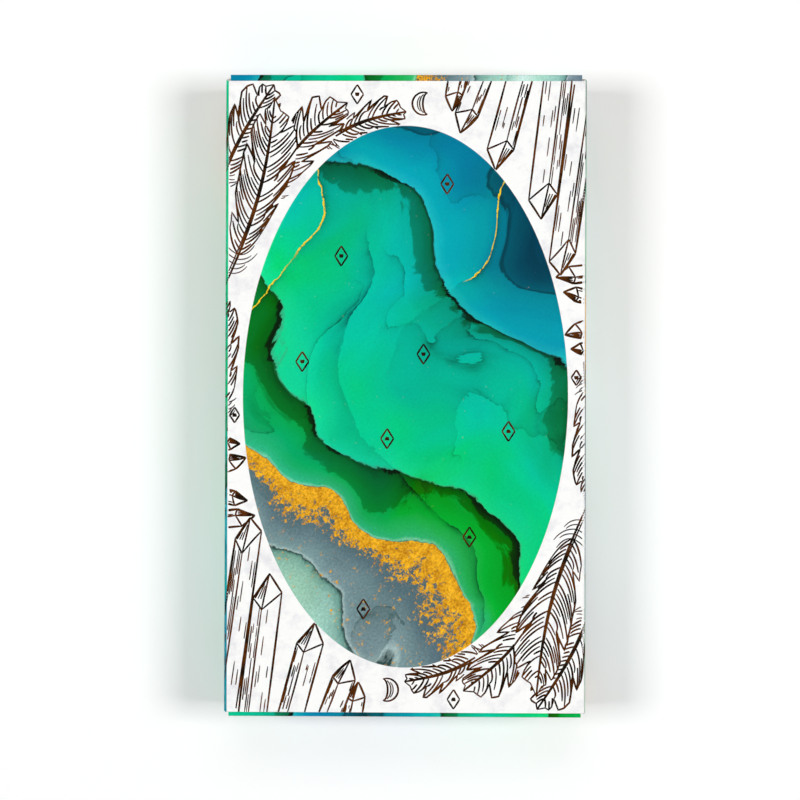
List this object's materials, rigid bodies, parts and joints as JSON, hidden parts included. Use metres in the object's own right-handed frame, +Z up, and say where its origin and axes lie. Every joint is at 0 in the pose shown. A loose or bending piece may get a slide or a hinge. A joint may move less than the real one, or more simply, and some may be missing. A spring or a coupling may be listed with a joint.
{
  "type": "oracle card deck",
  "caption": "Boxed oracle card deck: a folding carton with a tuck closure at each end, holding a stack of cards and a stapled guide booklet.",
  "frame": {"origin": "under the middle of the carton, on the table that its back panel lies on", "axes": "+X to the right across the front panel, +Y along the length to the top closure, +Z up out of the front panel"},
  "size_m": [0.07, 0.1246, 0.0204],
  "materials": {
    "front_print": "white coated board, satin laminate over a printed marbled oval",
    "wrap_print": "coated board, satin laminate over a full-bleed marbled print",
    "raw_board": "uncoated board",
    "card_stock": "coated card, satin laminate",
    "booklet_cover": "coated paper",
    "booklet_paper": "uncoated paper",
    "staple_wire": "drawn wire"
  },
  "bodies": {
    "carton": {"front_panel": "front_print", "back_panel": "wrap_print", "left_side_panel": "wrap_print", "right_side_panel": "wrap_print", "glue_flap": "raw_board"},
    "top_lid": {"top_lid": "wrap_print"},
    "top_tuck_flap": {"top_tuck_flap": "wrap_print"},
    "top_left_dust_flap": {"top_left_dust_flap": "wrap_print"},
    "top_right_dust_flap": {"top_right_dust_flap": "wrap_print"},
    "bottom_lid": {"bottom_lid": "wrap_print"},
    "bottom_tuck_flap": {"bottom_tuck_flap": "wrap_print"},
    "bottom_left_dust_flap": {"bottom_left_dust_flap": "wrap_print"},
    "bottom_right_dust_flap": {"bottom_right_dust_flap": "wrap_print"},
    "deck": {"card_01": "card_stock", "card_02": "card_stock", "card_03": "card_stock", "card_04": "card_stock", "card_05": "card_stock", "card_06": "card_stock", "card_07": "card_stock", "card_08": "card_stock", "card_09": "card_stock", "card_10": "card_stock", "card_11": "card_stock", "card_12": "card_stock", "card_13": "card_stock", "card_14": "card_stock", "card_15": "card_stock", "card_16": "card_stock", "card_17": "card_stock", "card_18": "card_stock", "card_19": "card_stock", "card_20": "card_stock", "card_21": "card_stock", "card_22": "card_stock", "card_23": "card_stock", "card_24": "card_stock", "card_25": "card_stock", "card_26": "card_stock", "card_27": "card_stock", "card_28": "card_stock", "card_29": "card_stock", "card_30": "card_stock", "card_31": "card_stock", "card_32": "card_stock", "card_33": "card_stock", "card_34": "card_stock", "card_35": "card_stock", "card_36": "card_stock", "card_37": "card_stock", "card_38": "card_stock", "card_39": "card_stock", "card_40": "card_stock"},
    "booklet": {"booklet_cover": "booklet_cover", "booklet_pages": "booklet_paper", "booklet_staples": "staple_wire"}
  },
  "joints": [
    {"name": "top_lid_hinge", "type": "hinge", "parent": "carton", "child": "top_lid", "pos_m": [0, 0.06207, 0.00022], "axis": [-1, 0, 0], "range_deg": [0, 90]},
    {"name": "top_tuck_fold", "type": "hinge", "parent": "top_lid", "child": "top_tuck_flap", "pos_m": [0, 0.06207, 0.01948], "axis": [1, 0, 0], "range_deg": [0, 45]},
    {"name": "top_left_dust_fold", "type": "hinge", "parent": "carton", "child": "top_left_dust_flap", "pos_m": [-0.03478, 0.06153, 0.0102], "axis": [0, 0, 1], "range_deg": [0, 45]},
    {"name": "top_right_dust_fold", "type": "hinge", "parent": "carton", "child": "top_right_dust_flap", "pos_m": [0.03478, 0.06153, 0.0102], "axis": [0, 0, -1], "range_deg": [0, 45]},
    {"name": "bottom_lid_hinge", "type": "hinge", "parent": "carton", "child": "bottom_lid", "pos_m": [0, -0.06207, 0.00022], "axis": [1, 0, 0], "range_deg": [0, 90]},
    {"name": "bottom_tuck_fold", "type": "hinge", "parent": "bottom_lid", "child": "bottom_tuck_flap", "pos_m": [0, -0.06207, 0.01948], "axis": [-1, 0, 0], "range_deg": [0, 45]},
    {"name": "bottom_left_dust_fold", "type": "hinge", "parent": "carton", "child": "bottom_left_dust_flap", "pos_m": [-0.03478, -0.06153, 0.0102], "axis": [0, 0, -1], "range_deg": [0, 45]},
    {"name": "bottom_right_dust_fold", "type": "hinge", "parent": "carton", "child": "bottom_right_dust_flap", "pos_m": [0.03478, -0.06153, 0.0102], "axis": [0, 0, 1], "range_deg": [0, 45]},
    {"name": "deck_slide", "type": "slide", "parent": "carton", "child": "deck", "axis": [0, 1, 0], "range_m": [0, 0.0019]},
    {"name": "booklet_slide", "type": "slide", "parent": "carton", "child": "booklet", "axis": [0, 1, 0], "range_m": [0, 0.005]}
  ],
  "couplings": [
    {"joint": "top_tuck_fold", "follows": "top_lid_hinge", "ratio": 0.5},
    {"joint": "top_left_dust_fold", "follows": "top_lid_hinge", "ratio": 0.5},
    {"joint": "top_right_dust_fold", "follows": "top_lid_hinge", "ratio": 0.5},
    {"joint": "bottom_tuck_fold", "follows": "bottom_lid_hinge", "ratio": 0.5},
    {"joint": "bottom_left_dust_fold", "follows": "bottom_lid_hinge", "ratio": 0.5},
    {"joint": "bottom_right_dust_fold", "follows": "bottom_lid_hinge", "ratio": 0.5}
  ]
}
